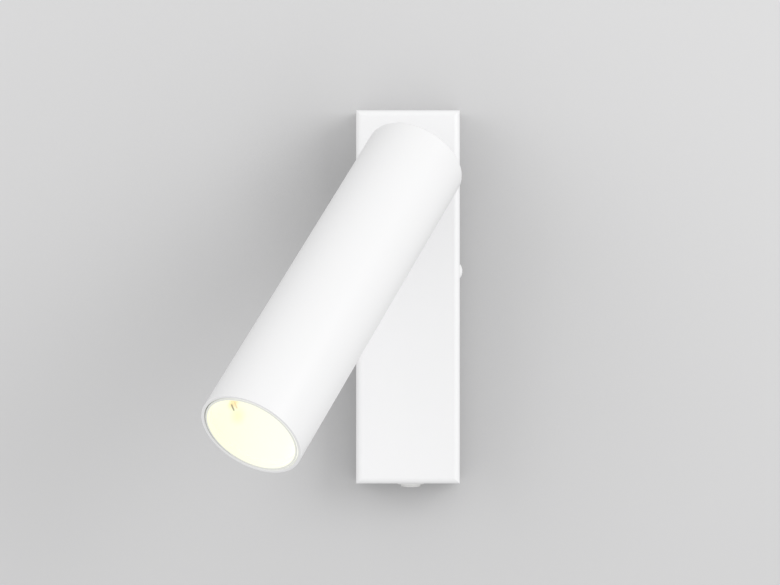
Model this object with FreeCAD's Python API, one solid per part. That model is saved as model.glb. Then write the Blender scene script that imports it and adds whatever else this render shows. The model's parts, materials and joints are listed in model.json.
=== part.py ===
import FreeCAD, Part
import math
import os

# Wall spotlight: a flat housing on the wall, a swivel arm and a tubular lamp head.
# Frame: origin in the middle of the housing's back, on the wall plane y = 0.
# The lamp stands out of the wall towards -Y, +Z is up and +X is to the right.
# Lengths are in millimetres, angles in degrees.

Vector = FreeCAD.Vector
RIGHT = Vector(1, 0, 0)
WALLWARD = Vector(0, 1, 0)
OUTWARD = Vector(0, -1, 0)
UP = Vector(0, 0, 1)
DOWN = Vector(0, 0, -1)
FULL_TURN = 360.0

# Overruns and small working values
overrun = 1.0
pick_distance = 0.01
thread_gap = 0.05
running_gap = 0.08
wire_bend_share = 0.45
screw_edge_share = 0.35
screw_tip_share = 0.3
nut_sides = 6

# Housing: a folded steel cover over a bracket that is screwed to the wall
housing_width = 50.0
housing_height = 180.0
housing_depth = 25.0
cover_sheet = 1.2
front_round = 3.0
cover_gap = 0.3
bracket_sheet = 1.5
bracket_corner = 2.0
bend_round = 1.2

# Holes in the bracket: two slots for the wall screws and the entry of the supply cable
wall_slot_inset = 18.0
wall_slot_width = 4.4
wall_slot_length = 8.0
cable_height = 36.0
cable_hole_radius = 7.0
grommet_bore_radius = 4.5
grommet_rim_radius = 8.3
grommet_rim_thickness = 1.2

# Side screws that hold the cover, and the bracket tabs that they enter
side_screw_height = 12.5
side_screw_depth = 9.0
side_screw_radius = 1.75
side_screw_length = 6.0
side_screw_head_radius = 3.3
side_screw_head_height = 1.6
side_screw_play = 0.2
tab_reach = 14.0
tab_half_height = 6.0
tab_corner = 2.0
relief_width = 1.5
relief_depth = 3.0

# Earth screw on the right tab, which is taller for it
earth_rise = 15.0
earth_screw_radius = 2.0
earth_head_radius = 3.2
earth_head_height = 2.2
earth_tag_thickness = 0.8
earth_tag_radius = 3.6

# Small screws that hold the terminal block and the driver on the bracket
inner_screw_radius = 1.5
inner_screw_head_radius = 2.7
inner_screw_head_height = 1.9
ear_thickness = 2.5
ear_reach = 6.0
ear_hole_play = 0.2

# Terminal block: three poles side by side
pole_count = 3
pole_pitch = 8.6
pole_width = 6.4
pole_round = 1.9
terminal_foot_height = 14.0
terminal_foot_depth = 4.0
terminal_depth = 14.0
terminal_bottom = 5.0
terminal_wire_radius = 1.6
terminal_wire_depth = 7.5
terminal_screw_radius = 1.5
terminal_screw_spacing = 7.0
terminal_screw_sink = 1.0
terminal_screw_length = 4.3

# Driver: a potted case with an ear at each end, above the room for the switch
driver_width = 34.0
driver_depth = 18.0
driver_top = -9.0
switch_room = 33.0
driver_corner = 1.5
driver_rim = 1.4
driver_recess = 1.0
driver_lead_depth = 12.5

# Push-button switch in the cover's bottom; its depth share is of the housing's depth
switch_offset = 1.4
switch_depth_share = 0.5
switch_flange_radius = 6.7
switch_flange_thickness = 0.8
switch_barrel_radius = 5.8
switch_barrel_length = 9.0
switch_case_radius = 6.8
switch_case_length = 11.0
switch_tag_width = 2.4
switch_tag_thickness = 0.6
switch_tag_length = 4.5
switch_tag_spacing = 5.0
switch_nut_across = 14.0
switch_nut_thickness = 2.0
button_radius = 4.7
button_stand = 1.6
button_dome_rise = 0.5
button_length = 5.5
button_bore_length = 8.5
button_collar_radius = 5.0
button_collar_start = 1.5
spring_radius = 2.5
spring_wire_radius = 0.25
spring_turns = 4

# Swivel: the arm's hollow stem passes through the cover's front, a little below the housing's top
swivel_inset = 31.5
stem_radius = 5.0
stem_bore_radius = 3.0
stem_flat = 4.2
stem_inside_length = 7.8
flange_radius = 12.5
flange_thickness = 3.0
flange_round = 0.8
swivel_washer_radius = 12.0
swivel_washer_thickness = 0.8
inner_washer_radius = 9.0
stop_washer_thickness = 1.2
stop_tab_reach = 12.9
stop_tab_half_width = 1.2
stop_post_radius = 1.2
stop_post_place = 11.5
stop_post_length = 4.0
spring_washer_thickness = 0.5
spring_washer_rise = 0.7
stem_nut_across = 14.0
stem_nut_thickness = 3.0

# Arm: a flat tongue whose round nose is the tilt hinge, so long that the tube clears the housing
tube_clearance = 11.0
tongue_thickness = 10.0
tongue_radius = 8.0
tongue_root_round = 1.5
tongue_edge_round = 0.5
lead_bore_radius = 1.9
lead_bore_offset = 5.0
lead_bore_start = 5.0
lead_nose_reach = 6.8

# Tilt hinge: the seats' share is of the tube's radius
tilt_screw_radius = 2.0
tilt_screw_head_radius = 3.5
tilt_screw_head_height = 2.5
tilt_seat_share = 0.62
tilt_recess_play = 0.3
tilt_nut_across = 7.0
tilt_nut_thickness = 3.2
tilt_spring_washer_radius = 3.5
tilt_spring_washer_thickness = 0.4
tilt_spring_washer_rise = 0.5
friction_disc_radius = 7.5
friction_disc_thickness = 1.0

# Pose in the photograph: turned from straight down, and tilted away from the housing
pan_rest = 30.3
tilt_rest = 37.0

# Lamp head: distances along the tube are counted from its rear end
tube_length = 180.0
tube_radius = 24.0
tube_wall = 1.4
tube_rear_round = 1.2
tube_lip_round = 0.3
rear_reach = 8.5
slot_gap = 0.5
tube_slot_play = 0.2
block_length = 28.0
block_gap = 0.05
block_edge = 0.4
window_half_width = 2.6
window_near = 9.0
window_far = 12.0

# Screws through the tube's back into the pivot block and the heat sink
tube_screw_radius = 1.5
tube_screw_head_radius = 2.75
tube_screw_head_height = 1.8
tube_screw_length = 7.5
block_screw_place = 22.5
tube_screw_play = 0.15

# Heat sink, whose front lies deep in the tube's mouth; its shares are of the tube's radius
engine_depth = 35.6
sink_boss_length = 8.0
sink_disc_length = 8.0
sink_length = 50.0
sink_core_share = 0.58
sink_gap = 0.1
sink_fin_count = 18
sink_groove_width = 3.2
sink_lead_radius = 2.1
sink_lead_share = 0.45

# Light engine: the shares for board, board screws, emitter and throat are of the tube's radius
board_share = 0.65
board_thickness = 1.6
board_screw_share = 0.54
board_screw_radius = 1.25
board_screw_head_radius = 2.2
board_screw_head_height = 1.2
board_screw_length = 6.0
emitter_share = 0.2
emitter_base = 0.7
emitter_dome_share = 0.175
emitter_dome_height = 0.6
reflector_throat_share = 0.3
reflector_mouth_step = 0.3
reflector_wall = 1.0
reflector_rim_thickness = 1.0
reflector_middle_share = 0.4
reflector_skew_share = 0.8
lens_thickness = 2.0
lens_gap = 0.05
sleeve_gap = 0.4
sleeve_wall = 0.8
sleeve_lip_reach = 1.5
sleeve_lip = 1.5
sleeve_edge = 0.3
sleeve_recess = 0.2

# Wires and leads
wire_radius = 1.0
lead_radius = 1.6
wire_drop = 4.0
side_channel = 20.6
side_channel_drop = 11.0
switched_wire_place = 9.0
neutral_wire_place = 14.0
earth_channel = 17.5
earth_neck_length = 3.0
lamp_lead_place = 11.0
lead_channel = 17.0
lead_rise = 6.0
lead_turn_room = 6.0
lead_sweep = 12.0
loop_run = 7.0
loop_end = 36.0
lead_shift_share = 0.25
lead_clearance = 14.4
lead_solder = 0.6

# Sizes that follow from the ones above
half_width = housing_width / 2
half_height = housing_height / 2
cover_inside_x = half_width - cover_sheet
cover_inside_front = housing_depth - cover_sheet
bracket_half_width = cover_inside_x - cover_gap
bracket_half_height = half_height - cover_sheet - cover_gap
wall_slot_spacing = housing_height - 2 * wall_slot_inset
tab_inside_x = bracket_half_width - bracket_sheet
driver_bottom = -half_height + switch_room
switch_depth = housing_depth * switch_depth_share
swivel_height = half_height - swivel_inset
tube_bore_radius = tube_radius - tube_wall
block_radius = tube_bore_radius - block_gap
sleeve_radius = tube_bore_radius - sleeve_gap
sleeve_window_radius = sleeve_radius - sleeve_lip_reach
reflector_mouth_radius = sleeve_window_radius - reflector_mouth_step
reflector_throat_radius = tube_radius * reflector_throat_share
board_radius = tube_radius * board_share
board_screw_offset = tube_radius * board_screw_share
emitter_half_width = tube_radius * emitter_share
emitter_dome_radius = tube_radius * emitter_dome_share
sink_core_radius = tube_radius * sink_core_share
sink_lead_offset = tube_radius * sink_lead_share
tilt_seat_half_width = tube_radius * tilt_seat_share
standoff = tube_radius + tube_clearance
slot_radius = tongue_radius + slot_gap
slot_half_width = tongue_thickness / 2 + friction_disc_thickness
flange_back = housing_depth + swivel_washer_thickness
swivel_inside = cover_inside_front - swivel_washer_thickness
stop_washer_inside = swivel_inside - stop_washer_thickness
stem_nut_seat = stop_washer_inside - spring_washer_rise
stem_end = swivel_inside - stem_inside_length
pivot = Vector(0, -(housing_depth + standoff), swivel_height)
lead_slope = math.atan2(lead_bore_offset, standoff - lead_bore_start)
lead_direction = Vector(0, -math.cos(lead_slope), -math.sin(lead_slope))
sink_front = tube_length - engine_depth
sink_rear = sink_front - sink_length
sleeve_front = tube_length - sleeve_recess
lens_front = sleeve_front - sleeve_lip
lens_radius = sleeve_radius - sleeve_wall - lens_gap
reflector_front = lens_front - lens_thickness
board_front = sink_front + board_thickness
sink_boss_radius = sleeve_radius - sleeve_wall - thread_gap
sink_disc_start = sink_front - sink_boss_length - sink_disc_length
sink_screw_place = sink_disc_start + sink_disc_length / 2
lead_shift_end = sink_rear - lead_clearance
lead_shift_start = loop_end + (lead_shift_end - loop_end) * lead_shift_share


def box(low, high):
    """A box between its lowest and its highest corner."""
    size = high - low
    return Part.makeBox(size.x, size.y, size.z, low)


def rod(radius, start, end):
    """A round bar between two points on its axis."""
    span = end - start
    return Part.makeCylinder(radius, span.Length, start, span)


def turned(outline, base, direction):
    """A solid of revolution, from points of radius and distance along the axis."""
    corners = [Vector(radius, 0, distance) for radius, distance in outline]
    face = Part.Face(Part.makePolygon(corners + corners[:1]))
    return stood(face.revolve(Vector(), UP, FULL_TURN), base, direction)


def stood(shape, base, direction):
    """Stand a shape that was made along +Z on a base point, along a direction."""
    shape.Placement = FreeCAD.Placement(base, FreeCAD.Rotation(UP, direction))
    return shape


def ring(outer_radius, inner_radius, thickness, base, direction):
    """A flat washer."""
    outline = [
        (inner_radius, 0),
        (outer_radius, 0),
        (outer_radius, thickness),
        (inner_radius, thickness),
    ]
    return turned(outline, base, direction)


def dished_ring(outer_radius, inner_radius, thickness, rise, base, direction):
    """A spring washer: a flat cone whose total height is the rise."""
    outline = [
        (inner_radius, rise - thickness),
        (outer_radius, 0),
        (outer_radius, thickness),
        (inner_radius, rise),
    ]
    return turned(outline, base, direction)


def hex_nut(across, bore_radius, thickness, base, direction):
    """A hexagonal nut with a plain bore."""
    corner_radius = across / math.sqrt(3)
    corners = []
    for index in range(nut_sides + 1):
        angle = math.radians(FULL_TURN * index / nut_sides)
        corners.append(Vector(corner_radius * math.cos(angle), corner_radius * math.sin(angle), 0))
    blank = Part.Face(Part.makePolygon(corners)).extrude(UP * thickness)
    bore = rod(bore_radius, DOWN * overrun, UP * (thickness + overrun))
    return stood(blank.cut(bore), base, direction)


def cap_arc(radius, rise, rim):
    """Outline of a spherical cap from its crown to its rim, for a dome that points to -Z."""
    sphere_radius = (radius ** 2 + rise ** 2) / (2 * rise)
    halfway = radius / 2
    depth = math.sqrt(sphere_radius ** 2 - halfway ** 2) - sphere_radius + rise
    crown = Vector(0, 0, rim - rise)
    return Part.Arc(crown, Vector(halfway, 0, rim - depth), Vector(radius, 0, rim)).toShape()


def pan_screw(head_radius, head_height, shank_radius, length, seat, direction):
    """A domed screw whose head rests on the seat and whose shank follows the direction."""
    edge_height = head_height * screw_edge_share
    shoulder = Vector(head_radius, 0, -edge_height)
    crown = Vector(0, 0, -head_height)
    tip = shank_radius * screw_tip_share
    corners = [
        shoulder,
        Vector(head_radius, 0, 0),
        Vector(shank_radius, 0, 0),
        Vector(shank_radius, 0, length - tip),
        Vector(shank_radius - tip, 0, length),
        Vector(0, 0, length),
        crown,
    ]
    dome = cap_arc(head_radius, head_height - edge_height, -edge_height)
    profile = Part.Wire([dome] + Part.makePolygon(corners).Edges)
    return stood(Part.Face(profile).revolve(Vector(), UP, FULL_TURN), seat, direction)


def unit(vector):
    """The direction of a vector."""
    return vector / vector.Length


def routed(points, radius):
    """A round wire along straight runs joined by tangent arcs."""
    edges = []
    start = points[0]
    for before, corner, after in zip(points, points[1:], points[2:]):
        arriving = unit(corner - before)
        leaving = unit(after - corner)
        half_turn = arriving.getAngle(leaving) / 2
        reach = wire_bend_share * min(before.distanceToPoint(corner), corner.distanceToPoint(after))
        bend_radius = reach / math.tan(half_turn)
        inward = unit(leaving - arriving)
        middle = corner + inward * (bend_radius / math.cos(half_turn) - bend_radius)
        arc_start = corner - arriving * reach
        arc_end = corner + leaving * reach
        edges.append(Part.LineSegment(start, arc_start).toShape())
        edges.append(Part.Arc(arc_start, middle, arc_end).toShape())
        start = arc_end
    edges.append(Part.LineSegment(start, points[-1]).toShape())
    path = Part.Wire(edges)
    section = Part.Wire(Part.Circle(points[0], points[1] - points[0], radius).toShape())
    wire = path.makePipeShell([section], True, False)
    print("wire volume against section times length", wire.Volume, math.pi * radius ** 2 * path.Length)
    return wire


def posed_arm(shape):
    """Move an arm piece from straight down at the origin to its place in the photograph."""
    moved = shape.copy()
    moved.rotate(Vector(), WALLWARD, pan_rest)
    moved.translate(pivot)
    return moved


def posed_head(shape):
    """Move a head piece from hanging at the origin to its place in the photograph."""
    moved = shape.copy()
    moved.rotate(Vector(), RIGHT, -tilt_rest)
    return posed_arm(moved)


def along_tube(distance, wallward=0):
    """A point in the tube's middle plane, at a distance from its rear end."""
    return Vector(0, wallward, rear_reach - distance)


def head_turned(outline):
    """A solid of revolution in the head, from points of radius and distance from the rear end."""
    return turned(outline, along_tube(0), DOWN)


def rounded_shell_box(margin, fillet_radius):
    """The housing's outer form drawn in by a margin, with its front edges rounded."""
    low = Vector(-half_width + margin, -housing_depth + margin, -half_height + margin)
    high = Vector(half_width - margin, 0, half_height - margin)
    form = box(low, high)
    front = form.BoundBox.YMin + pick_distance
    edges = [edge for edge in form.Edges if edge.BoundBox.YMax < front]
    return form.makeFillet(fillet_radius, edges)


def housing_cover():
    """Folded steel cover, open towards the wall."""
    cover = rounded_shell_box(0, front_round).cut(rounded_shell_box(cover_sheet, front_round - cover_sheet))
    swivel_hole = rod(
        stem_radius + running_gap,
        Vector(0, -housing_depth - overrun, swivel_height),
        Vector(0, -cover_inside_front + overrun, swivel_height),
    )
    screw_holes = rod(
        side_screw_radius + side_screw_play,
        Vector(-half_width - overrun, -side_screw_depth, side_screw_height),
        Vector(half_width + overrun, -side_screw_depth, side_screw_height),
    )
    switch_hole = rod(
        switch_barrel_radius + thread_gap,
        Vector(switch_offset, -switch_depth, -half_height - overrun),
        Vector(switch_offset, -switch_depth, -half_height + cover_sheet + overrun),
    )
    return cover.cut([swivel_hole, screw_holes, switch_hole])


def wall_slot(height):
    """Cutter for an upright slot in the bracket."""
    radius = wall_slot_width / 2
    run = wall_slot_length / 2 - radius
    cutters = [
        rod(
            radius,
            Vector(0, overrun, height + end * run),
            Vector(0, -bracket_sheet - overrun, height + end * run),
        )
        for end in (-1, 1)
    ]
    middle = box(
        Vector(-radius, -bracket_sheet - overrun, height - run),
        Vector(radius, overrun, height + run),
    )
    return middle.fuse(cutters)


def bracket_tab(side, low, high):
    """A tab bent out of the bracket's edge, with its corners and its bend rounded."""
    inside = min(side * tab_inside_x, side * bracket_half_width)
    tab = box(
        Vector(inside, -tab_reach, low),
        Vector(inside + bracket_sheet, 0, high),
    )
    corners = [edge for edge in tab.Edges if edge.BoundBox.YMax < -tab_reach + pick_distance
               and edge.BoundBox.XLength > bracket_sheet - pick_distance]
    tab = tab.makeFillet(tab_corner, corners)
    bend = [edge for edge in tab.Edges if edge.BoundBox.YMin > -pick_distance
            and abs(edge.CenterOfMass.x) > bracket_half_width - pick_distance]
    return tab.makeFillet(bend_round, bend)


def wall_bracket():
    """Flat steel bracket with two bent side tabs."""
    plate = box(
        Vector(-bracket_half_width, -bracket_sheet, -bracket_half_height),
        Vector(bracket_half_width, 0, bracket_half_height),
    )
    corners = [edge for edge in plate.Edges if edge.BoundBox.YLength > bracket_sheet - pick_distance]
    plate = plate.makeFillet(bracket_corner, corners)
    low = side_screw_height - tab_half_height
    high = side_screw_height + tab_half_height
    tops = {-1: high, 1: high + earth_rise}
    notches = []
    tabs = []
    for side, top in tops.items():
        inner = side * (bracket_half_width - relief_depth)
        outer = side * (bracket_half_width + overrun)
        notches.append(box(
            Vector(min(inner, outer), -bracket_sheet - overrun, low - relief_width),
            Vector(max(inner, outer), overrun, top + relief_width),
        ))
        bridge_outer = side * (bracket_half_width - bend_round)
        tabs.append(bracket_tab(side, low, top))
        tabs.append(box(
            Vector(min(inner, bridge_outer), -bracket_sheet, low),
            Vector(max(inner, bridge_outer), 0, top),
        ))
    plate = plate.cut(notches)
    bracket = plate.fuse(tabs).removeSplitter()
    holes = [wall_slot(end * wall_slot_spacing / 2) for end in (-1, 1)]
    holes.append(rod(
        cable_hole_radius,
        Vector(0, overrun, cable_height),
        Vector(0, -bracket_sheet - overrun, cable_height),
    ))
    holes.append(rod(
        side_screw_radius + thread_gap,
        Vector(-bracket_half_width - overrun, -side_screw_depth, side_screw_height),
        Vector(bracket_half_width + overrun, -side_screw_depth, side_screw_height),
    ))
    holes.append(rod(
        earth_screw_radius + thread_gap,
        Vector(tab_inside_x - overrun, -side_screw_depth, side_screw_height + earth_rise),
        Vector(bracket_half_width + overrun, -side_screw_depth, side_screw_height + earth_rise),
    ))
    for place in inner_screw_places():
        holes.append(rod(
            inner_screw_radius + thread_gap,
            Vector(place.x, overrun, place.z),
            Vector(place.x, -bracket_sheet - overrun, place.z),
        ))
    return bracket.cut(holes)


def terminal_half_width():
    """Half the width of the terminal block's row of poles."""
    return pole_pitch * (pole_count - 1) / 2 + pole_width / 2


def inner_screw_places():
    """Middles of the ears of the terminal block and of the driver, on the bracket's front."""
    terminal_x = terminal_half_width() + ear_reach / 2
    terminal_z = terminal_bottom + terminal_foot_height / 2
    return [
        Vector(-terminal_x, -bracket_sheet, terminal_z),
        Vector(terminal_x, -bracket_sheet, terminal_z),
        Vector(0, -bracket_sheet, driver_bottom - ear_reach / 2),
        Vector(0, -bracket_sheet, driver_top + ear_reach / 2),
    ]


def cable_grommet():
    """Bush that lines the hole for the supply cable."""
    outline = [
        (grommet_bore_radius, 0),
        (cable_hole_radius - thread_gap, 0),
        (cable_hole_radius - thread_gap, bracket_sheet),
        (grommet_rim_radius, bracket_sheet),
        (grommet_rim_radius, bracket_sheet + grommet_rim_thickness),
        (grommet_bore_radius, bracket_sheet + grommet_rim_thickness),
    ]
    return turned(outline, Vector(0, 0, cable_height), OUTWARD)


def cover_screws():
    """The two side screws that hold the cover on the bracket's tabs."""
    return Part.makeCompound([
        pan_screw(
            side_screw_head_radius,
            side_screw_head_height,
            side_screw_radius,
            side_screw_length,
            Vector(side * half_width, -side_screw_depth, side_screw_height),
            RIGHT * -side,
        )
        for side in (-1, 1)
    ])


def bracket_screws():
    """Four screws through the ears of the terminal block and the driver."""
    return Part.makeCompound([
        pan_screw(
            inner_screw_head_radius,
            inner_screw_head_height,
            inner_screw_radius,
            ear_thickness + bracket_sheet,
            place + OUTWARD * ear_thickness,
            WALLWARD,
        )
        for place in inner_screw_places()
    ])


def earth_place():
    """Where the earth tag lies on the inner face of the right tab."""
    return Vector(tab_inside_x, -side_screw_depth, side_screw_height + earth_rise)


def earth_screw():
    """Screw that clamps the earth tag on the right tab."""
    seat = earth_place() - RIGHT * earth_tag_thickness
    return pan_screw(
        earth_head_radius,
        earth_head_height,
        earth_screw_radius,
        earth_tag_thickness + bracket_sheet,
        seat,
        RIGHT,
    )


def ear_holes():
    """Cutters for the screw holes in the ears."""
    return [
        rod(
            inner_screw_radius + ear_hole_play,
            place + WALLWARD * overrun,
            place + OUTWARD * (ear_thickness + overrun),
        )
        for place in inner_screw_places()
    ]


def pole_places():
    """Distances of the poles to the right of the middle."""
    return [pole_pitch * (index - (pole_count - 1) / 2) for index in range(pole_count)]


def terminal_top_front():
    """Distance of the terminal towers' tops from the wall."""
    return bracket_sheet + terminal_depth


def terminal_block():
    """Insulating block with three towers, a wire channel and two screw wells in each."""
    half_row = terminal_half_width()
    top = terminal_bottom + terminal_foot_height
    foot = box(
        Vector(-half_row, -bracket_sheet - terminal_foot_depth, terminal_bottom),
        Vector(half_row, -bracket_sheet, top),
    )
    ears = box(
        Vector(-half_row - ear_reach, -bracket_sheet - ear_thickness, terminal_bottom),
        Vector(half_row + ear_reach, -bracket_sheet, top),
    )
    ear_corners = [edge for edge in ears.Edges if edge.BoundBox.YLength > ear_thickness - pick_distance]
    ears = ears.makeFillet(inner_screw_head_radius, ear_corners)
    towers = []
    cuts = ear_holes()[:2]
    for place in pole_places():
        tower = box(
            Vector(place - pole_width / 2, -terminal_top_front(), terminal_bottom),
            Vector(place + pole_width / 2, -bracket_sheet, top),
        )
        ridges = [edge for edge in tower.Edges if edge.BoundBox.YMax < -terminal_top_front() + pick_distance
                  and edge.BoundBox.ZLength > pick_distance]
        towers.append(tower.makeFillet(pole_round, ridges))
        cuts.append(rod(
            terminal_wire_radius,
            Vector(place, -bracket_sheet - terminal_wire_depth, terminal_bottom - overrun),
            Vector(place, -bracket_sheet - terminal_wire_depth, top + overrun),
        ))
    for place in terminal_screw_places():
        cuts.append(rod(
            terminal_screw_radius + thread_gap,
            place + OUTWARD * (terminal_screw_sink + overrun),
            place + WALLWARD * (terminal_screw_length + overrun),
        ))
    return foot.fuse([ears] + towers).removeSplitter().cut(cuts)


def terminal_screw_places():
    """Tops of the six clamping screws, sunk in their wells."""
    middle = terminal_bottom + terminal_foot_height / 2
    sunk = -terminal_top_front() + terminal_screw_sink
    return [
        Vector(place, sunk, middle + end * terminal_screw_spacing / 2)
        for place in pole_places()
        for end in (-1, 1)
    ]


def terminal_screws():
    """The six clamping screws of the terminal block."""
    return Part.makeCompound([
        rod(terminal_screw_radius, place, place + WALLWARD * terminal_screw_length)
        for place in terminal_screw_places()
    ])


def led_driver():
    """Potted power supply with an ear at each end."""
    front = bracket_sheet + driver_depth
    case = box(
        Vector(-driver_width / 2, -front, driver_bottom),
        Vector(driver_width / 2, -bracket_sheet, driver_top),
    )
    upright = [edge for edge in case.Edges if edge.BoundBox.YLength > driver_depth - pick_distance]
    case = case.makeFillet(driver_corner, upright)
    recess = box(
        Vector(-driver_width / 2 + driver_rim, -front - overrun, driver_bottom + driver_rim),
        Vector(driver_width / 2 - driver_rim, -front + driver_recess, driver_top - driver_rim),
    )
    ears = box(
        Vector(-ear_reach, -bracket_sheet - ear_thickness, driver_bottom - ear_reach),
        Vector(ear_reach, -bracket_sheet, driver_top + ear_reach),
    )
    ear_corners = [edge for edge in ears.Edges if edge.BoundBox.YLength > ear_thickness - pick_distance]
    ears = ears.makeFillet(driver_corner, ear_corners)
    return case.cut(recess).fuse(ears).removeSplitter().cut(ear_holes()[2:])


def switch_point(height):
    """A point on the switch's axis, at a height above the cover's bottom face."""
    return Vector(switch_offset, -switch_depth, -half_height + height)


def switch_body():
    """Threaded switch: thin flange outside, barrel through the cover, case and two tags inside."""
    mouth = button_radius + running_gap
    bore = button_collar_radius + running_gap
    case_end = switch_barrel_length + switch_case_length
    outline = [
        (mouth, -switch_flange_thickness),
        (switch_flange_radius - switch_flange_thickness / 2, -switch_flange_thickness),
        (switch_flange_radius, -switch_flange_thickness / 2),
        (switch_flange_radius, 0),
        (switch_barrel_radius, 0),
        (switch_barrel_radius, switch_barrel_length),
        (switch_case_radius, switch_barrel_length),
        (switch_case_radius, case_end),
        (0, case_end),
        (0, button_bore_length),
        (bore, button_bore_length),
        (bore, button_collar_start),
        (mouth, button_collar_start),
    ]
    body = turned(outline, switch_point(0), UP)
    tags = []
    for side in (-1, 1):
        foot = switch_point(case_end)
        middle = foot + RIGHT * (side * switch_tag_spacing / 2)
        half = Vector(switch_tag_thickness / 2, switch_tag_width / 2, 0)
        tags.append(box(middle - half, middle + half + UP * switch_tag_length))
    return body.fuse(tags)


def switch_tag_end(side):
    """The inner end of one of the switch's two tags."""
    height = switch_barrel_length + switch_case_length + switch_tag_length
    return switch_point(height) + RIGHT * (side * switch_tag_spacing / 2)


def switch_nut():
    """Nut that clamps the switch on the inside of the cover's bottom."""
    return hex_nut(
        switch_nut_across,
        switch_barrel_radius + thread_gap,
        switch_nut_thickness,
        switch_point(cover_sheet),
        UP,
    )


def button_top():
    """Height of the button's inner end above the cover's bottom face."""
    return button_length - switch_flange_thickness - button_stand


def switch_button():
    """Domed push button that slides in the switch's barrel, held in by its collar."""
    rim = -switch_flange_thickness - button_stand + button_dome_rise
    crown = Vector(0, 0, rim - button_dome_rise)
    shoulder = Vector(button_radius, 0, rim)
    corners = [
        shoulder,
        Vector(button_radius, 0, button_collar_start),
        Vector(button_collar_radius, 0, button_collar_start),
        Vector(button_collar_radius, 0, button_top()),
        Vector(0, 0, button_top()),
        crown,
    ]
    dome = cap_arc(button_radius, button_dome_rise, rim)
    profile = Part.Wire([dome] + Part.makePolygon(corners).Edges)
    button = Part.Face(profile).revolve(Vector(), UP, FULL_TURN)
    return stood(button, switch_point(0), UP)


def switch_spring():
    """Return spring between the button and the end of its bore."""
    length = button_bore_length - button_top() - 2 * spring_wire_radius
    coil_bottom = button_top() + spring_wire_radius
    path = Part.makeHelix(length / spring_turns, length, spring_radius)
    start = path.Edges[0].valueAt(path.Edges[0].FirstParameter)
    heading = path.Edges[0].tangentAt(path.Edges[0].FirstParameter)
    section = Part.Wire(Part.Circle(start, heading, spring_wire_radius).toShape())
    coil = Part.Wire(path.Edges).makePipeShell([section], True, True)
    return stood(coil, switch_point(coil_bottom), UP)


def swivel_point(distance_from_wall):
    """A point on the swivel axis."""
    return Vector(0, -distance_from_wall, swivel_height)


def swivel_washer():
    """Nylon washer between the arm's flange and the cover."""
    return ring(
        swivel_washer_radius,
        stem_radius + running_gap,
        swivel_washer_thickness,
        swivel_point(housing_depth),
        OUTWARD,
    )


def inner_washer():
    """Nylon washer behind the cover's front."""
    return ring(
        inner_washer_radius,
        stem_radius + running_gap,
        swivel_washer_thickness,
        swivel_point(cover_inside_front),
        WALLWARD,
    )


def stop_post():
    """Welded stud above the swivel that stops the turn both ways."""
    foot = Vector(0, -cover_inside_front, swivel_height + stop_post_place)
    return rod(stop_post_radius, foot, foot + WALLWARD * stop_post_length)


def stem_cutter(radius, flat, start, end):
    """A round bar along the swivel axis with one flat side, for the stem and what is keyed on it."""
    bar = rod(radius, start, end)
    if start.y > end.y:
        start, end = end, start
    beyond = box(
        Vector(flat, start.y - overrun, start.z - radius - overrun),
        Vector(radius + overrun, end.y + overrun, start.z + radius + overrun),
    )
    return bar.cut(beyond)


def arm_point(distance_from_wall):
    """A point on the swivel axis, measured from the tilt hinge."""
    return Vector(0, -distance_from_wall - pivot.y, 0)


def stop_washer():
    """Keyed washer whose tab meets the stop post at both ends of the turn."""
    disc = ring(
        inner_washer_radius,
        0,
        stop_washer_thickness,
        arm_point(swivel_inside),
        WALLWARD,
    )
    near = arm_point(swivel_inside)
    tab = box(
        Vector(-stop_tab_half_width, near.y, -stop_tab_reach),
        Vector(stop_tab_half_width, near.y + stop_washer_thickness, 0),
    )
    hole = stem_cutter(
        stem_radius + thread_gap,
        stem_flat + thread_gap,
        near + OUTWARD * overrun,
        near + WALLWARD * (stop_washer_thickness + overrun),
    )
    return posed_arm(disc.fuse(tab).cut(hole))


def stem_spring_washer():
    """Spring washer that keeps the swivel's friction steady."""
    return posed_arm(dished_ring(
        inner_washer_radius,
        stem_radius + thread_gap,
        spring_washer_thickness,
        spring_washer_rise,
        arm_point(stop_washer_inside),
        WALLWARD,
    ))


def stem_nut():
    """Thin nut on the arm's stem."""
    return posed_arm(hex_nut(
        stem_nut_across,
        stem_radius + thread_gap,
        stem_nut_thickness,
        arm_point(stem_nut_seat),
        WALLWARD,
    ))


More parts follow.
